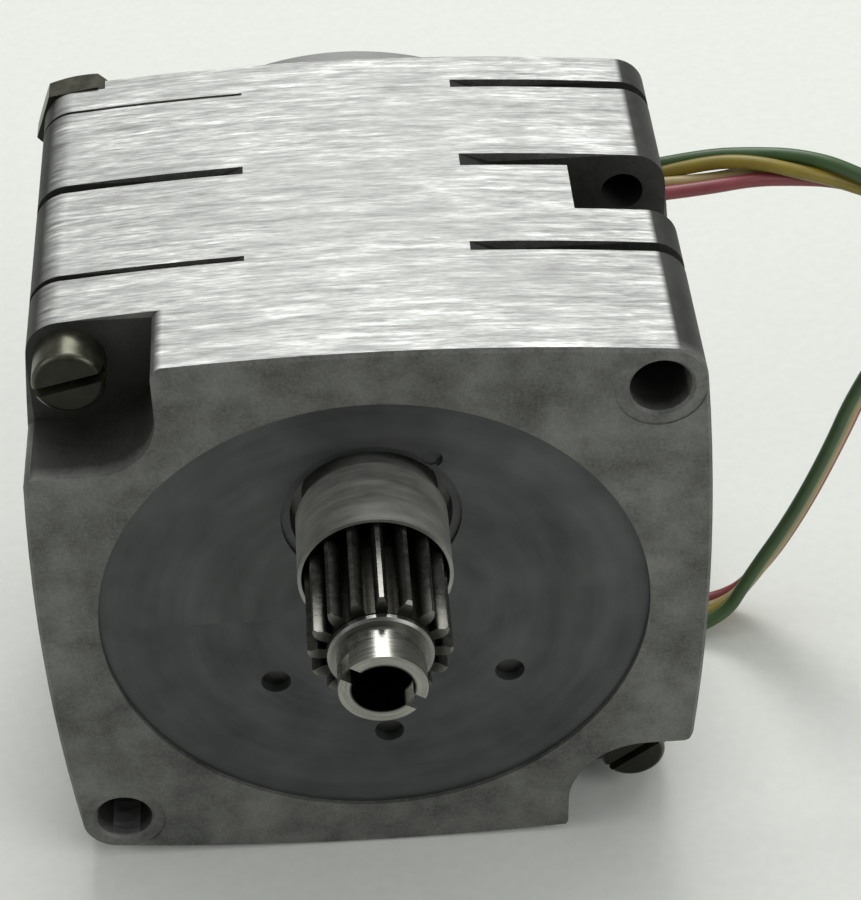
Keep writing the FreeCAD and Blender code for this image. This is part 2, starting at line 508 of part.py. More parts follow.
# the end stands proud of the journal that carries the pinion, the gear and the bushes
tube = revolved("output_shaft", [
    ("Dims.tube_bore", "0"), ("Dims.tube_radius", "0"), ("Dims.tube_radius", "Dims.tube_tip - Dims.pinion_front - Dims.ring_len"),
    ("Dims.journal_radius", "Dims.tube_tip - Dims.pinion_front - Dims.ring_len"), ("Dims.journal_radius", "Dims.tube_tip + Dims.tube_tail"),
    ("Dims.tube_bore", "Dims.tube_tip + Dims.tube_tail")], -val("tube_tip"), 0.0, LIFT)
sk = sketch_at(tube, "output_shaft_slot_sketch")
sk.AttachmentOffset = FreeCAD.Placement(V(0, 0, 0), FreeCAD.Rotation(V(0, 0, 1), val("slot_angle")))
sk.setExpression("AttachmentOffset.Rotation.Angle", "Dims.slot_angle * 1 deg")
hw = val("slot_width") / 2
p = [V(-6, -hw, 0), V(6, -hw, 0), V(6, hw, 0), V(-6, hw, 0)]
for i in range(4):
    sk.addGeometry(Part.LineSegment(p[i], p[(i + 1) % 4]), False)
for i in range(4):
    sk.addConstraint(Sketcher.Constraint("Coincident", i, 2, (i + 1) % 4, 1))
for g in (0, 2):
    sk.addConstraint(Sketcher.Constraint("Horizontal", g))
for g in (1, 3):
    sk.addConstraint(Sketcher.Constraint("Vertical", g))
sk.addConstraint(Sketcher.Constraint("Symmetric", 0, 1, 1, 2, -1, 1))
sk.addConstraint(Sketcher.Constraint("Distance", 0, 12.0))
c = sk.addConstraint(Sketcher.Constraint("Distance", 1, 2 * hw))
sk.setExpression("Constraints[%d]" % c, "Dims.slot_width")
pocket(tube, sk, D + "slot_depth", "output_shaft_slot")
nodes["output_shaft"] = tube


def involute_gear(teeth, module, width, bore, first_angle, backlash=0.06, addendum=1.0, chamfer=0.0):
    """Spur gear about Y, from y = 0 to y = width, with a tooth centred at first_angle (degrees, from +X toward +Z)."""
    r, ra, rf = module * teeth / 2, module * (teeth / 2 + addendum), module * (teeth / 2 - 1.25)
    rb = r * math.cos(math.radians(20))
    half = (math.pi * module / 2 - backlash) / (2 * r)
    inv = lambda rad: math.tan(math.acos(rb / rad)) - math.acos(rb / rad)
    half_base = half + inv(r)
    start = max(rb, rf + 1e-3)
    flank = []
    for i in range(7):
        rad = start + (ra - start) * (i / 6.0) ** 1.5
        flank.append((rad, half_base - inv(max(rad, rb))))
    pt = lambda rad, a: V(rad * math.cos(a), 0, rad * math.sin(a))
    edges = []
    pitch = 2 * math.pi / teeth
    for k in range(teeth):
        c = math.radians(first_angle) + k * pitch
        left = [pt(rad, c - a) for rad, a in flank]
        right = [pt(rad, c + a) for rad, a in reversed(flank)]
        root_in, root_out = pt(rf, c - flank[0][1]), pt(rf, c + flank[0][1])
        if (root_in - left[0]).Length > 1e-3:
            edges.append(Part.LineSegment(root_in, left[0]).toShape())
        s = Part.BSplineCurve()
        s.interpolate(left)
        edges.append(s.toShape())
        edges.append(Part.Arc(left[-1], pt(ra, c), right[0]).toShape())
        s = Part.BSplineCurve()
        s.interpolate(right)
        edges.append(s.toShape())
        if (root_out - right[-1]).Length > 1e-3:
            edges.append(Part.LineSegment(right[-1], root_out).toShape())
        nxt = pt(rf, c + pitch - flank[0][1])
        edges.append(Part.Arc(root_out, pt(rf, c + pitch / 2), nxt).toShape())
    wire = Part.Wire(Part.__sortEdges__(edges))
    solid = Part.Face(wire).extrude(V(0, width, 0))
    if chamfer:
        turned = Part.makeCylinder(ra + 1, width, V(0, 0, 0), V(0, 1, 0))
        keep = Part.makeCone(ra - chamfer, ra + 1 - chamfer + width, width + 1, V(0, 0, 0), V(0, 1, 0))
        solid = solid.common(keep)
    return solid.cut(Part.makeCylinder(bore, width + 20, V(0, -10, 0), V(0, 1, 0)))


pin_w = val("pinion_front") + val("pinion_back")
pin_shape = involute_gear(int(val("pinion_teeth")), val("pinion_module"), pin_w, val("journal_radius"), val("pinion_turn"), chamfer=0.25)
nodes["output_pinion"] = feature("output_pinion", pin_shape, 0, -val("pinion_front"), LIFT)
nodes["pinion_ring"] = revolved("pinion_ring", [
    ("Dims.journal_radius", "0"), ("Dims.ring_radius - Dims.ring_break", "0"), ("Dims.ring_radius", "Dims.ring_break"), ("Dims.ring_radius", "Dims.ring_len"), ("Dims.journal_radius", "Dims.ring_len")],
    -val("pinion_front") - val("ring_len"), 0.0, LIFT)

wheel_teeth, drive_teeth, gm = int(val("wheel_teeth")), int(val("drive_teeth")), val("gear_module")
wheel = involute_gear(wheel_teeth, gm, val("wheel_width"), val("journal_radius"), 270.0 + 180.0 / wheel_teeth, backlash=val("gear_backlash"), addendum=0.85)
hub = Part.makeCylinder(val("wheel_hub_radius"), val("wheel_hub_len"), V(0, val("wheel_width"), 0), V(0, 1, 0)).cut(
    Part.makeCylinder(val("journal_radius"), 20, V(0, -5, 0), V(0, 1, 0)))
nodes["output_gear"] = feature("output_gear", wheel.fuse(hub).removeSplitter(), 0, val("wheel_start"), LIFT)
nodes["output_washer"] = revolved("output_washer", [
    ("Dims.journal_radius + Dims.bush_clearance", "0"), ("4.9", "0"), ("4.9", "0.5"), ("Dims.journal_radius + Dims.bush_clearance", "0.5")],
    back + val("collar_flange") + 0.15, 0.0, LIFT)

# ---------------------------------------------------------------- rotor
nodes["rotor_pinion"] = feature("rotor_pinion", involute_gear(drive_teeth, gm, val("drive_width"), val("rotor_shaft_radius"), 90.0, backlash=val("gear_backlash")), 0, val("drive_start"), 0)
nodes["rotor_shaft"] = revolved("rotor_shaft", [
    ("0", "Dims.rotor_shaft_start"), ("Dims.rotor_shaft_radius - 0.2", "Dims.rotor_shaft_start"), ("Dims.rotor_shaft_radius", "Dims.rotor_shaft_start + 0.2"),
    ("Dims.rotor_shaft_radius", "Dims.rotor_shaft_end - 0.2"), ("Dims.rotor_shaft_radius - 0.2", "Dims.rotor_shaft_end"), ("0", "Dims.rotor_shaft_end")])
nodes["rotor_magnet"] = revolved("rotor_magnet", [
    ("Dims.magnet_bore", "Dims.magnet_start"), ("Dims.magnet_radius", "Dims.magnet_start"), ("Dims.magnet_radius", "Dims.magnet_end"), ("Dims.magnet_bore", "Dims.magnet_end")])
nodes["rotor_hub"] = revolved("rotor_hub", [
    ("Dims.rotor_shaft_radius", "Dims.magnet_start"), ("3.6", "Dims.magnet_start"), ("3.6", "Dims.magnet_start + 4"), ("6.4", "Dims.magnet_start + 4"),
    ("6.4", "Dims.magnet_start"), ("Dims.magnet_bore", "Dims.magnet_start"), ("Dims.magnet_bore", "Dims.magnet_end"), ("6.4", "Dims.magnet_end"),
    ("6.4", "Dims.magnet_end - 4"), ("3.6", "Dims.magnet_end - 4"), ("3.6", "Dims.magnet_end"), ("Dims.rotor_shaft_radius", "Dims.magnet_end")])
nodes["rotor_front_bush"] = revolved("rotor_front_bush", [
    ("Dims.rotor_shaft_radius + Dims.bush_clearance", "0"), ("Dims.rotor_bush_radius", "0"), ("Dims.rotor_bush_radius", "Dims.gear_plate_thick"),
    ("Dims.rotor_shaft_radius + Dims.bush_clearance", "Dims.gear_plate_thick")], BELL - val("gear_plate_thick"))
hub_front = Y4 + val("rear_boss_len") - val("rear_wall") - val("rear_hub_len")
nodes["rotor_rear_bush"] = revolved("rotor_rear_bush", [
    ("Dims.rotor_shaft_radius + Dims.bush_clearance", "0"), ("Dims.rear_bush_radius", "0"), ("Dims.rear_bush_radius", "Dims.rear_bush_len"),
    ("Dims.rotor_shaft_radius + Dims.bush_clearance", "Dims.rear_bush_len")], hub_front)
nodes["rotor_front_washer"] = revolved("rotor_front_washer", [
    ("Dims.rotor_shaft_radius + Dims.bush_clearance", "0"), ("Dims.washer_radius", "0"), ("Dims.washer_radius", "Dims.washer_thick"),
    ("Dims.rotor_shaft_radius + Dims.bush_clearance", "Dims.washer_thick")], BELL + 0.5)
nodes["rotor_spring"] = revolved("rotor_spring", [
    ("Dims.rotor_shaft_radius + 0.4", "0"), ("Dims.rotor_shaft_radius + 0.9", "0"), ("Dims.washer_radius + 0.6", "Dims.washer_thick * 4"),
    ("Dims.washer_radius + 0.1", "Dims.washer_thick * 4")], val("magnet_end") + 0.4)

# ---------------------------------------------------------------- stator phases
def claw_plate(label, y, forward, turn):
    """Steel plate with claws bent along Y, forward toward -Y or back toward +Y."""
    body = new_body(label, y)
    sk = sketch_at(body, label + "_ring_sketch", "0")
    circle(sk, D + "stack_radius")
    circle(sk, D + "claw_inner")
    pad(body, sk, D + "plate_thick", label + "_ring")
    sk = sketch_at(body, label + "_claw_sketch", "0" if forward else "Dims.plate_thick")
    ri, ro, hwid = val("claw_inner"), val("claw_outer"), math.radians(val("claw_width") / 2)
    a = math.radians(turn)
    pt = lambda r, t: V(r * math.cos(t), r * math.sin(t), 0)
    sk.addGeometry(Part.ArcOfCircle(Part.Circle(V(0, 0, 0), V(0, 0, 1), ri), a - hwid, a + hwid), False)
    sk.addGeometry(Part.ArcOfCircle(Part.Circle(V(0, 0, 0), V(0, 0, 1), ro), a - hwid, a + hwid), False)
    sk.addGeometry(Part.LineSegment(pt(ri, a - hwid), pt(ro, a - hwid)), False)
    sk.addGeometry(Part.LineSegment(pt(ri, a + hwid), pt(ro, a + hwid)), False)
    for g in (0, 1):
        sk.addConstraint(Sketcher.Constraint("Coincident", g, 3, -1, 1))
    sk.addConstraint(Sketcher.Constraint("Coincident", 0, 1, 2, 1))
    sk.addConstraint(Sketcher.Constraint("Coincident", 1, 1, 2, 2))
    sk.addConstraint(Sketcher.Constraint("Coincident", 0, 2, 3, 1))
    sk.addConstraint(Sketcher.Constraint("Coincident", 1, 2, 3, 2))
    for g, expr in ((0, "Dims.claw_inner"), (1, "Dims.claw_outer")):
        c = sk.addConstraint(Sketcher.Constraint("Radius", g, number(expr)))
        sk.setExpression("Constraints[%d]" % c, expr)
    for g, t in ((2, a - hwid), (3, a + hwid)):
        sk.addConstraint(Sketcher.Constraint("Angle", g, t))
    claw = pad(body, sk, D + "claw_len", label + "_claw", forward=forward)
    pattern = body.newObject("PartDesign::PolarPattern", label + "_claws")
    pattern.Originals = [claw]
    pattern.Axis = (plane(body, "Y_Axis"), [""])
    pattern.Angle = 360.0
    pattern.setExpression("Occurrences", "Dims.claw_count")
    body.Tip = pattern
    doc.recompute()
    return body


t, phase = val("plate_thick"), val("phase_len")
for tag, y in (("a", Y1), ("b", Y1 + phase)):
    nodes["pole_plate_%s_front" % tag] = claw_plate("pole_plate_%s_front" % tag, y, False, 7.5 if tag == "b" else 0.0)
    nodes["pole_plate_%s_rear" % tag] = claw_plate("pole_plate_%s_rear" % tag, y + phase - t, True, 22.5 if tag == "b" else 15.0)
    nodes["flux_sleeve_%s" % tag] = revolved("flux_sleeve_%s" % tag, [
        ("Dims.sleeve_inner", "Dims.plate_thick"), ("Dims.stack_radius", "Dims.plate_thick"),
        ("Dims.stack_radius", "Dims.phase_len - Dims.plate_thick"), ("Dims.sleeve_inner", "Dims.phase_len - Dims.plate_thick")], y)
    nodes["bobbin_%s" % tag] = revolved("bobbin_%s" % tag, [
        ("Dims.bobbin_inner", "Dims.plate_thick"), ("Dims.bobbin_flange", "Dims.plate_thick"),
        ("Dims.bobbin_flange", "Dims.plate_thick + Dims.bobbin_wall"), ("Dims.bobbin_core", "Dims.plate_thick + Dims.bobbin_wall"),
        ("Dims.bobbin_core", "Dims.phase_len - Dims.plate_thick - Dims.bobbin_wall"), ("Dims.bobbin_flange", "Dims.phase_len - Dims.plate_thick - Dims.bobbin_wall"),
        ("Dims.bobbin_flange", "Dims.phase_len - Dims.plate_thick"), ("Dims.bobbin_inner", "Dims.phase_len - Dims.plate_thick")], y)
    nodes["winding_%s" % tag] = revolved("winding_%s" % tag, [
        ("Dims.bobbin_core", "Dims.plate_thick + Dims.bobbin_wall"), ("Dims.coil_radius", "Dims.plate_thick + Dims.bobbin_wall"),
        ("Dims.coil_radius", "Dims.phase_len - Dims.plate_thick - Dims.bobbin_wall"), ("Dims.bobbin_core", "Dims.phase_len - Dims.plate_thick - Dims.bobbin_wall")], y)


# ---------------------------------------------------------------- slotted cheese-head screws
def screw(name, x, y, z, toward, shank, turn):
    """Screw along Y with its head's bearing face at y; toward is -1 for a head facing -Y and +1 for one facing +Y."""
    rot = FreeCAD.Rotation(V(1, 0, 0), 90 if toward < 0 else -90)
    place = lambda dy: FreeCAD.Placement(V(x, y + dy, z), rot)
    head = doc.addObject("Part::Cylinder", name + "_head")
    head.setExpression("Radius", D + "head_radius")
    head.setExpression("Height", D + "head_height")
    head.Placement = place(0)
    body = doc.addObject("Part::Cylinder", name + "_shank")
    body.setExpression("Radius", D + "shank_radius")
    body.setExpression("Height", "Dims.%s + 0.5" % shank)
    body.Placement = FreeCAD.Placement(V(x, y - toward * val(shank), z), rot)
    whole = doc.addObject("Part::Fuse", name + "_blank")
    whole.Base, whole.Tool = head, body
    doc.recompute()
    rounded = doc.addObject("Part::Fillet", name + "_rounded")
    rounded.Base = whole
    edges = []
    end = y + toward * val("head_height")
    for i, e in enumerate(whole.Shape.Edges, start=1):
        b = e.BoundBox
        if abs(b.YMin - end) < 1e-4 and abs(b.YMax - end) < 1e-4:
            edges.append((i, val("head_round"), val("head_round")))
    rounded.Edges = edges
    bar = doc.addObject("Part::Box", name + "_slot")
    bar.Length = 12
    bar.setExpression("Width", D + "head_slot_depth" )
    bar.setExpression("Height", D + "head_slot")
    slot_rot = FreeCAD.Rotation(V(0, 1, 0), turn)
    y0 = end if toward < 0 else end - val("head_slot_depth")
    corner = slot_rot.multVec(V(-6, 0, -val("head_slot") / 2))
    bar.Placement = FreeCAD.Placement(V(x, y0, z) + corner, slot_rot)
    cut = doc.addObject("Part::Cut", name + "_cut")
    cut.Base, cut.Tool = rounded, bar
    return cut


def nut(name, x, y, z, turn):
    """Hexagon nut on a Y axis, bearing face at y, outer corners turned down at 30 degrees."""
    r, h = val("nut_radius"), val("nut_thick")
    prism = Part.Face(Part.makePolygon([V(x + r * math.cos(math.radians(turn + 60 * k)), y, z + r * math.sin(math.radians(turn + 60 * k))) for k in range(7)])).extrude(V(0, h, 0))
    flat = r * math.cos(math.radians(30)) - 0.1
    drop = (r + 0.2 - flat) * math.tan(math.radians(30))
    profile = Part.Face(Part.makePolygon([V(x, y, z), V(x + r + 0.2, y, z), V(x + r + 0.2, y + h - drop, z), V(x + flat, y + h, z), V(x, y + h, z), V(x, y, z)]))
    turned = profile.revolve(V(x, 0, z), V(0, 1, 0), 360)
    bore = Part.makeCylinder(val("shank_radius"), h + 2, V(x, y - 1, z), V(0, 1, 0))
    return prism.common(turned).cut(bore).removeSplitter()


off, shift = val("hole_offset"), val("tie_shift")
fs = doc.addObject("Part::Compound", "tie_screws")
fs.Label = "tie_screws"
fs.Links = [screw("tie_screw_a", -off - shift, val("notch_depth"), off, -1, "tie_shank", -14.0), screw("tie_screw_b", off - shift, val("notch_depth"), -off, -1, "tie_shank", -38.0)]
nodes["tie_screws"] = fs
seat = Y4 - val("nut_sink")
rs = doc.addObject("Part::Compound", "tie_nuts")
rs.Label = "tie_nuts"
rs.Links = [feature("tie_nut_a", nut("tie_nut_a", -off - shift, seat, off, val("nut_turn")), 0, 0, 0),
            feature("tie_nut_b", nut("tie_nut_b", off - shift, seat, -off, val("nut_turn") - 33), 0, 0, 0)]
nodes["tie_nuts"] = rs

# ---------------------------------------------------------------- grommet and lead wires
hy, hz = val("grommet_half_y"), val("grommet_half_z")
box = doc.addObject("Part::Box", "grommet_block")
box.setExpression("Length", "Dims.grommet_out - Dims.grommet_in")
box.setExpression("Width", "2 * Dims.grommet_half_y")
box.setExpression("Height", "2 * Dims.grommet_half_z")
box.Placement = FreeCAD.Placement(V(val("grommet_in"), val("grommet_mid_y") - hy, val("grommet_mid_z") - hz), FreeCAD.Rotation())
box.Label = "lead_grommet"
nodes["lead_grommet"] = box

# Routes of the four wires (x, y, z): out of the grommet side by side, round in one open loop and back down beside the motor.
LEAD_POINTS = {
    "lead_green": [
        (27.6, 35.85, 20.3), (32.03, 35.36, 21.44), (36.15, 34.31, 22.11), (40.32, 33.08, 22.51), (44.46, 31.37, 22.07),
        (51.9, 29.41, 18.17), (51.74, 28.33, 9.97), (46.43, 27.83, -0.62), (44.14, 27.0, -7.75), (40.97, 26.26, -15.44),
        (37.32, 25.43, -21.79), (34.66, 24.45, -26.86), (30.0, 24.07, -27.88),
    ],
    "lead_yellow": [
        (27.6, 34.35, 20.3), (31.91, 33.9, 21.73), (36.01, 32.76, 22.33), (40.1, 31.76, 21.67), (43.96, 31.7, 20.45),
        (51.41, 30.71, 17.58), (52.25, 29.7, 9.74), (47.15, 29.01, -1.02), (44.83, 28.2, -8.13), (41.68, 27.42, -15.92),
        (38.02, 26.55, -22.37), (34.92, 25.74, -27.38), (30.0, 25.49, -27.88),
    ],
    "lead_white": [
        (27.6, 32.85, 20.3), (32.09, 33.1, 20.22), (36.18, 33.64, 20.63), (40.3, 33.85, 21.23), (44.33, 32.91, 21.14),
        (51.79, 32.1, 17.63), (52.95, 30.91, 9.46), (47.91, 30.16, -1.43), (45.57, 29.37, -8.53), (42.43, 28.55, -16.41),
        (38.76, 27.6, -22.97), (35.17, 27.01, -27.88), (30.0, 26.91, -27.88),
    ],
    "lead_red": [
        (27.6, 31.35, 20.3), (31.98, 31.64, 20.51), (36.04, 32.09, 20.85), (40.08, 32.51, 20.38), (43.83, 33.22, 19.51),
        (51.3, 33.39, 17.02), (53.46, 32.26, 9.23), (48.63, 31.34, -1.83), (46.27, 30.57, -8.91), (43.14, 29.71, -16.88),
        (39.46, 28.75, -23.55), (35.43, 28.41, -27.93), (30.0, 28.33, -27.88),
    ],
}


def tube_along(pts, diameter, name):
    runs = [(pts[i + 1] - pts[i]).Length for i in range(len(pts) - 1)]
    edges, radii, start = [], [], pts[0]
    for i in range(1, len(pts) - 1):
        a, b = (pts[i - 1] - pts[i]).normalize(), (pts[i + 1] - pts[i]).normalize()
        turn = math.pi - a.getAngle(b)
        short = min(runs[i - 1], runs[i])
        cut = 0.45 * short
        radius = cut / math.tan(turn / 2)
        radii.append(round(radius, 2))
        p, q = pts[i] + a * cut, pts[i] + b * cut
        bis = (a + b).normalize()
        centre = pts[i] + bis * (radius / math.cos(turn / 2))
        mid = centre - bis * radius
        edges.append(Part.LineSegment(start, p).toShape())
        edges.append(Part.Arc(p, mid, q).toShape())
        start = q
    edges.append(Part.LineSegment(start, pts[-1]).toShape())
    wire = Part.Wire(edges)
    d = (pts[1] - pts[0]).normalize()
    profile = Part.Wire(Part.Circle(pts[0], d, diameter / 2).toShape())
    solid = wire.makePipeShell([profile], True, False)
    want = math.pi * diameter ** 2 / 4 * wire.Length
    print(name, "length %.1f" % wire.Length, "radii", radii, "runs", [round(r, 1) for r in runs], "volume ratio %.3f" % (abs(solid.Volume) / want))
    return solid


for name, points in LEAD_POINTS.items():
    nodes[name] = feature(name, tube_along([V(*p) for p in points], val("lead_diameter"), name))

# ---------------------------------------------------------------- checks and export
doc.recompute()
bad = []
for obj in doc.Objects:
    if any(s in ("Invalid", "Error") for s in obj.State):
        bad.append((obj.Name, obj.State))
for name, obj in nodes.items():
    shape = obj.Shape
    if shape.isNull() or not shape.isValid() or shape.Volume <= 0 or not shape.Solids:
        bad.append((name, "bad shape"))
if bad:
    for b in bad:
        print("BAD", b)
    raise SystemExit(1)
for name, obj in nodes.items():
    assert len(name) < 60
    obj.Shape.exportStep("parts/%s.step" % name)
print("nodes", len(nodes), "solids", sum(len(o.Shape.Solids) for o in nodes.values()))
for name, obj in nodes.items():
    b = obj.Shape.BoundBox
    print("%-22s vol %9.1f solids %d  x %.2f..%.2f y %.2f..%.2f z %.2f..%.2f" % (name, obj.Shape.Volume, len(obj.Shape.Solids), b.XMin, b.XMax, b.YMin, b.YMax, b.ZMin, b.ZMax))
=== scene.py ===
import bpy, bmesh, json, math
from mathutils import Matrix, Vector


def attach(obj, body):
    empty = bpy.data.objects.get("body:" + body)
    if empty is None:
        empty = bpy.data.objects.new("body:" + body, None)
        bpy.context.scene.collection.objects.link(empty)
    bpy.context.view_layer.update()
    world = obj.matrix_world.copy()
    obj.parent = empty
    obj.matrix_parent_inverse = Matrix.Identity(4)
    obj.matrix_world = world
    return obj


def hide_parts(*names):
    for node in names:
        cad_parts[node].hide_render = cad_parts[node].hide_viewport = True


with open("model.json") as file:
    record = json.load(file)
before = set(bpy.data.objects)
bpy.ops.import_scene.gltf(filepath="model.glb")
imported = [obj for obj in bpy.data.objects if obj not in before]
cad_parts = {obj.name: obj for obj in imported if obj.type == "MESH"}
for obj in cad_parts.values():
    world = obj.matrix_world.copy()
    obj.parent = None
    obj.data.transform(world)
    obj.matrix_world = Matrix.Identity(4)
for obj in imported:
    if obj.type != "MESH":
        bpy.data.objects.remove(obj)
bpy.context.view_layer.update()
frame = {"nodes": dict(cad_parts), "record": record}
scene = bpy.context.scene
MM = 0.001

# ------------------------------------------------------------------ camera
cam_data = bpy.data.cameras.new("camera")
cam = bpy.data.objects.new("camera", cam_data)
scene.collection.objects.link(cam)
scene.camera = cam
YAW, PITCH, ROLL = math.radians(2.7335), math.radians(40.5061), math.radians(-1.3272)
ahead = Vector((math.sin(YAW) * math.cos(PITCH), math.cos(YAW) * math.cos(PITCH), -math.sin(PITCH)))
side = Vector((math.cos(YAW), -math.sin(YAW), 0.0))
over = side.cross(ahead)
c, s = math.cos(ROLL), math.sin(ROLL)
side, over = side * c + over * s, over * c - side * s
turn = Matrix((side, over, -ahead)).transposed().to_4x4()
cam.matrix_world = Matrix.Translation(Vector((-2.7658, -162.3637, 157.2970)) * MM) @ turn
cam_data.sensor_fit = "HORIZONTAL"
cam_data.sensor_width = 36.0
cam_data.lens = 36.0 * 2648.563 / 861.0
cam_data.clip_start = 0.01
cam_data.clip_end = 20.0

# ------------------------------------------------------------------ lead wires: smooth cords on the route's own points
LEAD_POINTS = {
    "green": [
        (27.6, 35.85, 20.3), (32.03, 35.36, 21.44), (36.15, 34.31, 22.11), (40.32, 33.08, 22.51), (44.46, 31.37, 22.07),
        (51.9, 29.41, 18.17), (51.74, 28.33, 9.97), (46.43, 27.83, -0.62), (44.14, 27.0, -7.75), (40.97, 26.26, -15.44),
        (37.32, 25.43, -21.79), (34.66, 24.45, -26.86), (30.0, 24.07, -27.88),
    ],
    "yellow": [
        (27.6, 34.35, 20.3), (31.91, 33.9, 21.73), (36.01, 32.76, 22.33), (40.1, 31.76, 21.67), (43.96, 31.7, 20.45),
        (51.41, 30.71, 17.58), (52.25, 29.7, 9.74), (47.15, 29.01, -1.02), (44.83, 28.2, -8.13), (41.68, 27.42, -15.92),
        (38.02, 26.55, -22.37), (34.92, 25.74, -27.38), (30.0, 25.49, -27.88),
    ],
    "white": [
        (27.6, 32.85, 20.3), (32.09, 33.1, 20.22), (36.18, 33.64, 20.63), (40.3, 33.85, 21.23), (44.33, 32.91, 21.14),
        (51.79, 32.1, 17.63), (52.95, 30.91, 9.46), (47.91, 30.16, -1.43), (45.57, 29.37, -8.53), (42.43, 28.55, -16.41),
        (38.76, 27.6, -22.97), (35.17, 27.01, -27.88), (30.0, 26.91, -27.88),
    ],
    "red": [
        (27.6, 31.35, 20.3), (31.98, 31.64, 20.51), (36.04, 32.09, 20.85), (40.08, 32.51, 20.38), (43.83, 33.22, 19.51),
        (51.3, 33.39, 17.02), (53.46, 32.26, 9.23), (48.63, 31.34, -1.83), (46.27, 30.57, -8.91), (43.14, 29.71, -16.88),
        (39.46, 28.75, -23.55), (35.43, 28.41, -27.93), (30.0, 28.33, -27.88),
    ],
}
wires, tips = {}, {}
for colour, route in LEAD_POINTS.items():
    pts = [Vector(p) * MM for p in route]
    curve = bpy.data.curves.new("lead_wire_" + colour, "CURVE")
    curve.dimensions = "3D"
    curve.bevel_depth = 0.65
    curve.bevel_resolution = 6
    curve.resolution_u = 24
    curve.use_fill_caps = True
    spline = curve.splines.new("NURBS")
    spline.points.add(len(pts) - 1)
    for p, q in zip(spline.points, pts):
        p.co = (*q, 1.0)
        p.radius = MM
    spline.order_u = 3
    spline.use_endpoint_u = True
    wire = bpy.data.objects.new("lead_wire_" + colour, curve)
    scene.collection.objects.link(wire)
    # stripped and tinned end: seven twisted strands
    bm = bmesh.new()
    end, before = pts[-1], pts[-2]
    d = (end - before).normalized()
    for strand in range(7):
        oy, oz = 0.0, 0.0
        if strand:
            a = math.pi * strand / 3
            oy, oz = math.cos(a) * 0.00017, math.sin(a) * 0.00017
        rings = []
        for j in range(9):
            t = j / 8
            w = t * 1.6
            mid = end + d * (-0.0006 + 0.0032 * t) + Vector((0, oy * math.cos(w) - oz * math.sin(w), oy * math.sin(w) + oz * math.cos(w)))
            rings.append([bm.verts.new(mid + Vector((0, math.cos(b), math.sin(b))) * 0.0001) for b in (math.pi * q / 4 for q in range(8))])
        for r0, r1 in zip(rings, rings[1:]):
            for q in range(8):
                bm.faces.new((r0[q], r0[(q + 1) % 8], r1[(q + 1) % 8], r1[q]))
        bm.faces.new(rings[-1])
        bm.faces.new(list(reversed(rings[0])))
    me = bpy.data.meshes.new("lead_tip_" + colour)
    bmesh.ops.recalc_face_normals(bm, faces=bm.faces)
    bm.to_mesh(me)
    bm.free()
    for poly in me.polygons:
        poly.use_smooth = True
    tip = bpy.data.objects.new("lead_tip_" + colour, me)
    scene.collection.objects.link(tip)
    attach(wire, "housing")
    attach(tip, "housing")
    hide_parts("lead_" + colour)
    wires[colour], tips[colour] = wire, tip

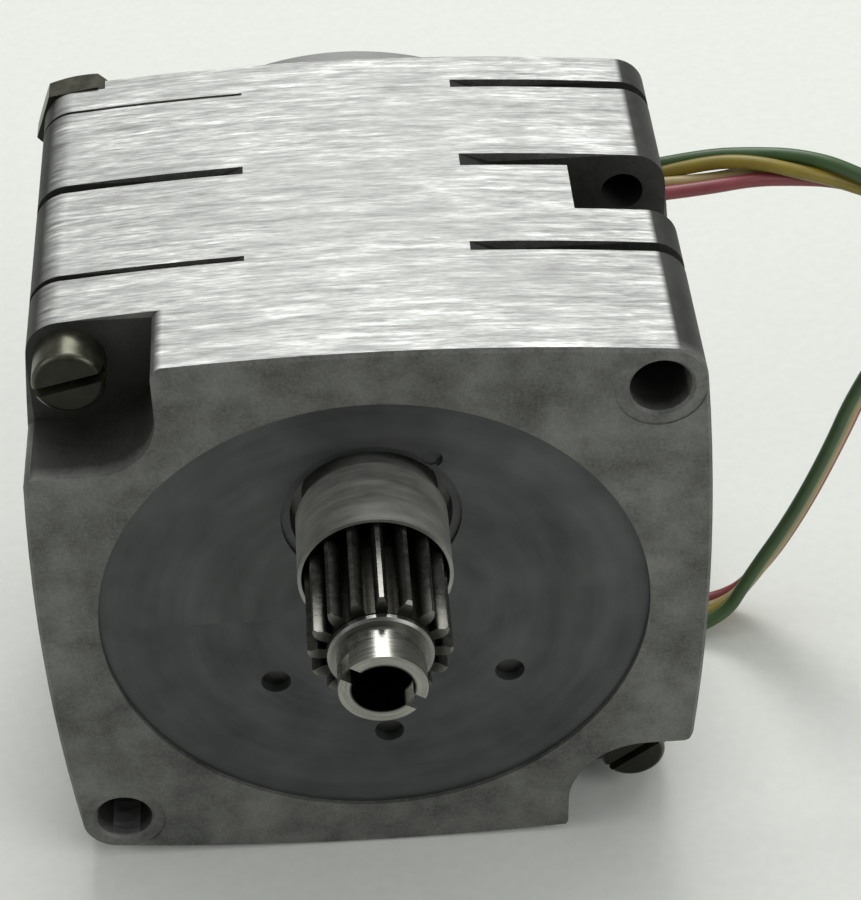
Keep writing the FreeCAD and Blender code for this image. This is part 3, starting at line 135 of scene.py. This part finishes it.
# ------------------------------------------------------------------ node helpers
class Net:
    """Small helper that adds and links shader nodes."""

    def __init__(self, name):
        self.mat = bpy.data.materials.new(name)
        self.mat.use_nodes = True
        self.tree = self.mat.node_tree
        self.tree.nodes.clear()
        self.out = self.add("ShaderNodeOutputMaterial")
        self.bsdf = self.add("ShaderNodeBsdfPrincipled")
        self.link(self.bsdf.outputs["BSDF"], self.out.inputs["Surface"])
        self.coord = self.add("ShaderNodeTexCoord")
        self.sep = None

    def add(self, kind, **attrs):
        node = self.tree.nodes.new(kind)
        for k, v in attrs.items():
            setattr(node, k, v)
        return node

    def link(self, a, b):
        self.tree.links.new(a, b)

    def val(self, socket, value):
        """Sets a number or links a socket."""
        if isinstance(value, bpy.types.NodeSocket):
            self.link(value, socket)
        else:
            socket.default_value = value

    def scaled(self, sx, sy, sz, off=(0, 0, 0)):
        m = self.add("ShaderNodeMapping")
        m.inputs["Scale"].default_value = (sx, sy, sz)
        m.inputs["Location"].default_value = off
        self.link(self.coord.outputs["Object"], m.inputs["Vector"])
        return m.outputs["Vector"]

    def noise(self, vector, scale=1.0, detail=3.0, rough=0.55, distort=0.0):
        n = self.add("ShaderNodeTexNoise")
        self.link(vector, n.inputs["Vector"])
        n.inputs["Scale"].default_value = scale
        n.inputs["Detail"].default_value = detail
        n.inputs["Roughness"].default_value = rough
        n.inputs["Distortion"].default_value = distort
        return n.outputs["Fac"]

    def voronoi(self, vector, scale=1.0, feature="F1"):
        n = self.add("ShaderNodeTexVoronoi", feature=feature)
        self.link(vector, n.inputs["Vector"])
        n.inputs["Scale"].default_value = scale
        return n.outputs["Distance"]

    def math(self, op, a, b=None, c=None, clamp=False):
        n = self.add("ShaderNodeMath", operation=op, use_clamp=clamp)
        self.val(n.inputs[0], a)
        if b is not None:
            self.val(n.inputs[1], b)
        if c is not None:
            self.val(n.inputs[2], c)
        return n.outputs[0]

    def remap(self, value, lo, hi, to_lo=0.0, to_hi=1.0, smooth=False):
        n = self.add("ShaderNodeMapRange")
        if smooth:
            n.interpolation_type = "SMOOTHSTEP"
        self.val(n.inputs["Value"], value)
        for k, v in (("From Min", lo), ("From Max", hi), ("To Min", to_lo), ("To Max", to_hi)):
            n.inputs[k].default_value = v
        return n.outputs["Result"]

    def ramp(self, fac, stops):
        n = self.add("ShaderNodeValToRGB")
        el = n.color_ramp.elements
        while len(el) < len(stops):
            el.new(0.5)
        for e, (pos, col) in zip(el, stops):
            e.position = pos
            e.color = (*col, 1.0)
        self.link(fac, n.inputs["Fac"])
        return n.outputs["Color"]

    def mix(self, fac, a, b, blend="MIX"):
        n = self.add("ShaderNodeMix", data_type="RGBA", blend_type=blend)
        self.val(n.inputs[0], fac)
        for socket, v in ((n.inputs[6], a), (n.inputs[7], b)):
            if isinstance(v, bpy.types.NodeSocket):
                self.link(v, socket)
            else:
                socket.default_value = (*v, 1.0)
        return n.outputs[2]

    def mixf(self, fac, a, b):
        n = self.add("ShaderNodeMix", data_type="FLOAT")
        self.val(n.inputs[0], fac)
        self.val(n.inputs[2], a)
        self.val(n.inputs[3], b)
        return n.outputs[0]

    def xyz(self, which="Object"):
        n = self.add("ShaderNodeSeparateXYZ")
        self.link(self.coord.outputs[which], n.inputs[0])
        return n.outputs

    def bump(self, height, distance, strength=1.0, normal=None):
        n = self.add("ShaderNodeBump")
        n.inputs["Strength"].default_value = strength
        n.inputs["Distance"].default_value = distance
        self.link(height, n.inputs["Height"])
        if normal is not None:
            self.link(normal, n.inputs["Normal"])
        return n.outputs["Normal"]

    def finish(self, color, metallic, rough, normal=None, spec=None, coat=None):
        self.val(self.bsdf.inputs["Base Color"], color if isinstance(color, bpy.types.NodeSocket) else (*color, 1.0))
        self.val(self.bsdf.inputs["Metallic"], metallic)
        self.val(self.bsdf.inputs["Roughness"], rough)
        if normal is not None:
            self.link(normal, self.bsdf.inputs["Normal"])
        if spec is not None:
            self.bsdf.inputs["Specular IOR Level"].default_value = spec
        if coat is not None:
            self.bsdf.inputs["Coat Weight"].default_value = coat[0]
            self.bsdf.inputs["Coat Roughness"].default_value = coat[1]
        return self.mat


# ------------------------------------------------------------------ materials
def layered_aluminium(name, cast_dark=(0.066, 0.067, 0.062), cast_light=(0.205, 0.208, 0.193)):
    """Die-cast aluminium, dull on faces and corners, with its four bowed flats ground bright across the layers."""
    n = Net(name)
    x, y, z = n.xyz("Object")[:3]
    nx, ny, nz = n.xyz("Normal")[:3]
    ax, az = n.math("ABSOLUTE", x), n.math("ABSOLUTE", z)
    # ground zones: top and bottom, and the two sides; the wheel ran off at x = 24 mm, and over the other rounded
    # corners the bright ground colour fades into the dark cast colour as the surface turns away, painted shade on the
    # corners
    facing_z = n.math("ABSOLUTE", nz)
    top = n.remap(facing_z, 0.70, 0.985, smooth=True)
    top = n.math("MULTIPLY", n.math("MULTIPLY", top, n.remap(x, 0.0246, 0.0250, 1.0, 0.0)), n.math("GREATER_THAN", az, 0.0258))
    sides = n.remap(n.math("ABSOLUTE", nx), 0.88, 0.985, smooth=True)
    sides = n.math("MULTIPLY", n.math("MULTIPLY", sides, n.remap(az, 0.0236, 0.0243, 1.0, 0.0)), n.math("GREATER_THAN", ax, 0.0258))
    deep = n.math("MULTIPLY", n.math("GREATER_THAN", n.math("MAXIMUM", ax, az), 0.0258), n.math("LESS_THAN", y, 0.0434))
    lip = n.math("MULTIPLY", n.math("MULTIPLY", n.math("LESS_THAN", x, 0.0), n.math("GREATER_THAN", z, 0.0150)), n.math("LESS_THAN", y, 0.0090))
    sides = n.math("MULTIPLY", sides, n.math("SUBTRACT", 1.0, lip))
    # the round core inside the corner gaps stays as cast, and below it is painted near black as shade in the gaps
    rad = n.math("SQRT", n.math("ADD", n.math("MULTIPLY", x, x), n.math("MULTIPLY", z, z)))
    along = n.math("DIVIDE", n.math("ADD", n.math("MULTIPLY", x, nx), n.math("MULTIPLY", z, nz)), rad)
    core = n.math("MULTIPLY", n.math("LESS_THAN", n.math("ABSOLUTE", n.math("SUBTRACT", rad, 0.0299)), 0.0001), n.math("GREATER_THAN", along, 0.985))
    ground = n.math("MULTIPLY", n.math("MULTIPLY", n.math("MAXIMUM", top, sides), deep), n.math("SUBTRACT", 1.0, core))
    # painted shade: the gap core, and at 0.75 the notch recesses behind the front face, are darkened towards near black
    recess = n.math("MULTIPLY", n.math("LESS_THAN", n.math("MAXIMUM", ax, az), 0.0274), n.remap(y, 0.0004, 0.0016))
    gap_and_notch_shade = n.math("MAXIMUM", core, n.math("MULTIPLY", recess, 0.75))
    # grinding lines, along X on top and bottom and along Z on the sides
    def lines(long_top, wide):
        a = n.noise(n.scaled(long_top, wide, wide * 0.2), 1.0, 4.0, 0.6)
        b = n.noise(n.scaled(wide * 0.2, wide, long_top), 1.0, 4.0, 0.6)
        return n.mixf(n.math("GREATER_THAN", sides, top), a, b)
    coarse, mid, fine = lines(170, 1500), lines(420, 3600), lines(1100, 8200)
    patch = n.noise(n.scaled(60, 130, 60), 1.0, 3.0, 0.5)
    streak = n.math("ADD", n.math("MULTIPLY", coarse, 0.45), n.math("ADD", n.math("MULTIPLY", mid, 0.35), n.math("MULTIPLY", fine, 0.20)))
    bright = n.ramp(n.remap(streak, 0.36, 0.64), [(0.0, (0.19, 0.193, 0.188)), (0.40, (0.385, 0.391, 0.380)), (0.60, (0.505, 0.512, 0.498)), (1.0, (0.90, 0.908, 0.885))])
    bright = n.mix(n.remap(patch, 0.38, 0.66, 0.0, 0.45), bright, (0.30, 0.304, 0.296))
    # as-cast skin
    grain = n.noise(n.scaled(3600, 3600, 3600), 1.0, 4.0, 0.7)
    cloud = n.noise(n.scaled(140, 140, 140), 1.0, 5.0, 0.65)
    pits = n.voronoi(n.scaled(900, 900, 900), 1.0)
    cast = n.ramp(n.math("ADD", n.math("MULTIPLY", grain, 0.35), n.math("MULTIPLY", cloud, 0.65)), [(0.38, cast_dark), (0.5, tuple((a + b) * 0.5 for a, b in zip(cast_dark, cast_light))), (0.62, cast_light)])
    # painted shade in the corner gaps and notch recesses
    cast = n.mix(gap_and_notch_shade, cast, (0.014, 0.0145, 0.013))
    rim = n.math("MULTIPLY", n.math("GREATER_THAN", y, 0.0434), n.math("GREATER_THAN", rad, 0.0262))
    cast = n.mix(n.math("MULTIPLY", rim, 0.8), cast, (0.30, 0.303, 0.295))
    color = n.mix(ground, cast, bright)
    rough_ground = n.remap(n.math("ADD", n.math("MULTIPLY", mid, 0.5), n.math("MULTIPLY", coarse, 0.5)), 0.3, 0.7, 0.53, 0.68)
    rough_cast = n.remap(grain, 0.3, 0.7, 0.50, 0.66)
    rough = n.mixf(ground, rough_cast, rough_ground)
    height = n.mixf(ground, n.math("ADD", n.math("MULTIPLY", grain, 0.7), n.math("MULTIPLY", n.remap(pits, 0.0, 0.35), 0.3)),
                    n.math("ADD", n.math("MULTIPLY", mid, 0.6), n.math("MULTIPLY", fine, 0.4)))
    normal = n.bump(height, 0.00004, 0.55)
    return n.finish(color, n.mixf(ground, 0.45, 0.97), rough, normal)


def turned_metal(name, lo, hi, metallic=0.95, rough=(0.22, 0.42), ring=5200, centre=(0, 0), bumps=0.35, stain_scale=330, painted_root_shade=None, coat=None):
    """Metal with fine turning marks about the Y axis through centre (x, z)."""
    n = Net(name)
    x, y, z = n.xyz("Object")[:3]
    dx = n.math("SUBTRACT", x, centre[0])
    dz = n.math("SUBTRACT", z, centre[1])
    rad = n.math("SQRT", n.math("ADD", n.math("MULTIPLY", dx, dx), n.math("MULTIPLY", dz, dz)))
    v = n.add("ShaderNodeCombineXYZ")
    n.link(n.math("MULTIPLY", rad, ring), v.inputs[0])
    n.link(n.math("MULTIPLY", y, ring), v.inputs[1])
    n.link(n.math("MULTIPLY", n.math("ARCTAN2", dz, dx), 1.1), v.inputs[2])
    marks = n.noise(v.outputs[0], 1.0, 3.0, 0.6)
    stain = n.noise(n.scaled(stain_scale, stain_scale, stain_scale), 1.0, 4.0, 0.55)
    color = n.ramp(n.math("ADD", n.math("MULTIPLY", marks, 0.5), n.math("MULTIPLY", stain, 0.5)), [(0.32, lo), (0.68, hi)])
    # painted shade: inside the near radius the colour turns to the dark shade tone, darkening the tooth gaps and
    # hollows
    if painted_root_shade:
        near, far, shade_tone = painted_root_shade
        color = n.mix(n.remap(rad, near, far, smooth=True), shade_tone, color)
    roughness = n.remap(n.math("ADD", n.math("MULTIPLY", marks, 0.5), n.math("MULTIPLY", stain, 0.5)), 0.3, 0.7, *rough)
    normal = n.bump(marks, 0.00002, bumps)
    return n.finish(color, metallic, roughness, normal, coat=coat)


def plain_surface(name, lo, hi, metallic, rough, scale=500, detail=5.0, bump=0.00002, strength=0.4, stretch=(1, 1, 1), coat=None, spec=None, painted_front_shade=None):
    n = Net(name)
    a = n.noise(n.scaled(scale * stretch[0], scale * stretch[1], scale * stretch[2]), 1.0, detail, 0.6)
    b = n.noise(n.scaled(scale * 0.17, scale * 0.17, scale * 0.17), 1.0, 3.0, 0.5)
    m = n.math("ADD", n.math("MULTIPLY", a, 0.6), n.math("MULTIPLY", b, 0.4))
    color = n.ramp(m, [(0.34, lo), (0.66, hi)])
    if painted_front_shade:
        # painted shade: faces turned towards -Y, the front, are darkened towards this colour
        color = n.mix(n.remap(n.xyz("Normal")[1], -0.97, -0.80, 0.85, 0.0), color, painted_front_shade)
    return n.finish(color, metallic, n.remap(m, 0.3, 0.7, *rough), n.bump(a, bump, strength), spec=spec, coat=coat)


def windings(name):
    n = Net(name)
    x, y, z = n.xyz("Object")[:3]
    wave = n.math("SINE", n.math("MULTIPLY", y, 2 * math.pi / 0.00034))
    soft = n.noise(n.scaled(300, 2200, 300), 1.0, 3.0)
    m = n.math("ADD", n.remap(wave, -1, 1, 0.0, 0.5), n.math("MULTIPLY", soft, 0.5))
    return n.finish(n.ramp(m, [(0.1, (0.20, 0.055, 0.018)), (0.9, (0.62, 0.24, 0.09))]), 0.85, n.remap(m, 0, 1, 0.25, 0.4), n.bump(wave, 0.00008, 0.6), coat=(0.4, 0.2))


OUT = (0.0, 0.01125)
MATS = {
    "ground_aluminium": layered_aluminium("ground_aluminium"),
    "cast_aluminium": layered_aluminium("cast_aluminium"),
    "disc_zinc": turned_metal("disc_zinc", (0.038, 0.040, 0.041), (0.092, 0.096, 0.097), 0.50, (0.34, 0.44), ring=420, bumps=0.03, stain_scale=170),
    "machined_steel": turned_metal("machined_steel", (0.26, 0.26, 0.24), (0.56, 0.56, 0.52), 0.92, (0.24, 0.36), centre=OUT, stain_scale=160, bumps=0.25),
    # painted shade in the pinion's tooth gaps
    "gear_steel": turned_metal("gear_steel", (0.08, 0.079, 0.071), (0.19, 0.186, 0.170), 0.92, (0.22, 0.34), ring=1800, centre=OUT, stain_scale=220, bumps=0.2, painted_root_shade=(0.0046, 0.0057, (0.022, 0.021, 0.017))),
    # painted shade on the screw faces that point to the front
    "chromate_steel": plain_surface("chromate_steel", (0.050, 0.050, 0.036), (0.145, 0.143, 0.108), 0.80, (0.28, 0.42), 700, painted_front_shade=(0.012, 0.012, 0.009)),
    "pole_steel": plain_surface("pole_steel", (0.30, 0.30, 0.29), (0.52, 0.52, 0.50), 0.95, (0.25, 0.40), 700),
    "bronze": turned_metal("bronze", (0.25, 0.15, 0.06), (0.50, 0.33, 0.16), 0.95, (0.32, 0.5), ring=1800, centre=OUT),
    "copper": windings("copper"),
    "magnet_ferrite": plain_surface("magnet_ferrite", (0.018, 0.018, 0.02), (0.045, 0.045, 0.048), 0.25, (0.45, 0.65), 900),
    "bobbin_nylon": plain_surface("bobbin_nylon", (0.56, 0.53, 0.42), (0.68, 0.65, 0.54), 0.0, (0.4, 0.55), 400),
    "grommet_rubber": plain_surface("grommet_rubber", (0.012, 0.012, 0.012), (0.03, 0.03, 0.03), 0.0, (0.55, 0.75), 1200),
    "spring_steel": turned_metal("spring_steel", (0.14, 0.14, 0.13), (0.30, 0.30, 0.28), 0.95, (0.25, 0.4), centre=OUT),
    "insulation_green": plain_surface("insulation_green", (0.030, 0.068, 0.020), (0.050, 0.105, 0.030), 0.0, (0.36, 0.50), 350, coat=(0.15, 0.3)),
    "insulation_yellow": plain_surface("insulation_yellow", (0.17, 0.130, 0.012), (0.27, 0.205, 0.018), 0.0, (0.36, 0.50), 350, coat=(0.15, 0.3)),
    "insulation_white": plain_surface("insulation_white", (0.30, 0.225, 0.090), (0.40, 0.310, 0.130), 0.0, (0.36, 0.50), 350, coat=(0.15, 0.3)),
    "insulation_red": plain_surface("insulation_red", (0.18, 0.028, 0.036), (0.28, 0.050, 0.060), 0.0, (0.36, 0.50), 350, coat=(0.15, 0.3)),
}
TINNED = plain_surface("tinned_copper", (0.42, 0.42, 0.40), (0.72, 0.71, 0.68), 0.95, (0.2, 0.4), 1500)

MORE = {
    "gear_pillars": turned_metal("pillar_ends", (0.035, 0.035, 0.032), (0.10, 0.10, 0.09), 0.9, (0.3, 0.45), ring=2400),
    "output_collar": turned_metal("collar_metal", (0.17, 0.17, 0.155), (0.44, 0.44, 0.405), 0.60, (0.36, 0.50), centre=OUT, stain_scale=240, bumps=0.3, ring=1500),
    # painted shade: darkened to near black inside 2.47 mm of the output axis
    "output_shaft": turned_metal("shaft_steel", (0.17, 0.168, 0.152), (0.38, 0.376, 0.342), 0.92, (0.22, 0.34), centre=OUT, stain_scale=160, bumps=0.25, painted_root_shade=(0.00247, 0.0027, (0.012, 0.012, 0.011))),
}
slot_of = {p["node"]: p["material_slot"] for p in frame["record"]["subparts"]}
for node, obj in frame["nodes"].items():
    mat = MORE.get(node) or MATS[slot_of[node]]
    if not obj.material_slots:
        obj.data.materials.append(mat)
    for ms in obj.material_slots:
        ms.material = mat

for colour in wires:
    wires[colour].data.materials.append(MATS["insulation_" + colour])
    tips[colour].data.materials.append(TINNED)

# ------------------------------------------------------------------ stage: pale floor and soft studio light
low = -28.6 * MM
me = bpy.data.meshes.new("floor")
me.from_pydata([(-3, -3, low), (3, -3, low), (3, 5, low), (-3, 5, low)], [], [(0, 1, 2, 3)])
floor = bpy.data.objects.new("floor", me)
scene.collection.objects.link(floor)
fn = Net("floor_paper")
grain = fn.noise(fn.scaled(900, 900, 900), 1.0, 4.0)
me.materials.append(fn.finish(fn.ramp(grain, [(0.3, (0.76, 0.78, 0.735)), (0.7, (0.80, 0.82, 0.775))]), 0.0, fn.remap(grain, 0.3, 0.7, 0.6, 0.75), fn.bump(grain, 0.00003, 0.2)))


def area(name, place, aim, size, power, colour=(1, 1, 1), size_y=None):
    data = bpy.data.lights.new(name, "AREA")
    data.energy = power
    data.color = colour
    data.shape = "RECTANGLE"
    data.size = size
    data.size_y = size_y or size
    obj = bpy.data.objects.new(name, data)
    scene.collection.objects.link(obj)
    obj.location = place
    obj.rotation_euler = (Vector(aim) - Vector(place)).to_track_quat("-Z", "Y").to_euler()
    return obj


area("key_behind", (0.04, 0.66, 0.68), (0, 0.0, 0.01), 0.40, 3.2, (1.0, 1.0, 0.985), 0.30)
area("top_softbox", (0.10, 0.30, 0.95), (0, 0.02, 0), 0.9, 4.1)
area("left_fill", (-0.75, -0.25, 0.45), (0, 0, 0), 0.5, 1.2)
area("right_fill", (0.70, -0.45, 0.50), (0.05, -0.04, 0), 0.6, 2.8)
world = bpy.data.worlds.new("studio")
scene.world = world
world.use_nodes = True
world.node_tree.nodes["Background"].inputs[0].default_value = (0.92, 0.95, 0.93, 1.0)
world.node_tree.nodes["Background"].inputs[1].default_value = 0.27
scene.view_settings.view_transform = "Standard"
scene.view_settings.look = "None"
